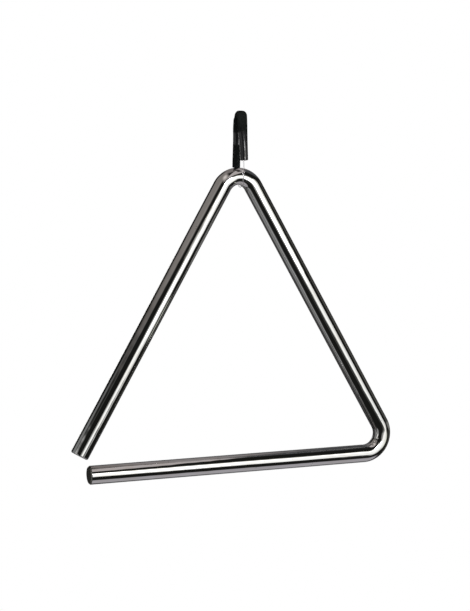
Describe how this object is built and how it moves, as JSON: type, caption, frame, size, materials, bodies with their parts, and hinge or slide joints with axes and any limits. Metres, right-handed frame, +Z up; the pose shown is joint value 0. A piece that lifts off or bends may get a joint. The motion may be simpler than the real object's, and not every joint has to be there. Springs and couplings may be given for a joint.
{
  "type": "triangle instrument",
  "caption": "Open triangle of bent plated rod, hung by its crown on a loop of clear line in a short folded tube.",
  "frame": {"origin": "crotch of the folded tube, where a hook or a finger holds the instrument", "axes": "+Z up, +X along the base towards its bent corner, Y square to the triangle with its front at -Y"},
  "size_m": [0.1496, 0.0125, 0.1574],
  "materials": {
    "rod": "bright plated steel with fine drawing lines along the rod and former marks inside its bends",
    "tube": "soft black vinyl, glossy where round and duller where it is folded flat",
    "line": "clear nylon monofilament"
  },
  "bodies": {
    "holder": {"holder_tube": "tube"},
    "line": {"nylon_line": "line"},
    "triangle": {"triangle_rod": "rod"}
  },
  "joints": [
    {"name": "twist", "type": "hinge", "parent": "holder", "child": "line", "pos_m": [0, 0, -0.0011], "axis": [0, 0, 1], "range_deg": [-45, 45], "stiffness_Nm_per_rad": 0.004, "deforming": ["nylon_line"]},
    {"name": "swing", "type": "hinge", "parent": "line", "child": "triangle", "pos_m": [0, 0, -0.027], "axis": [1, 0, 0], "range_deg": [-90, 90]}
  ]
}
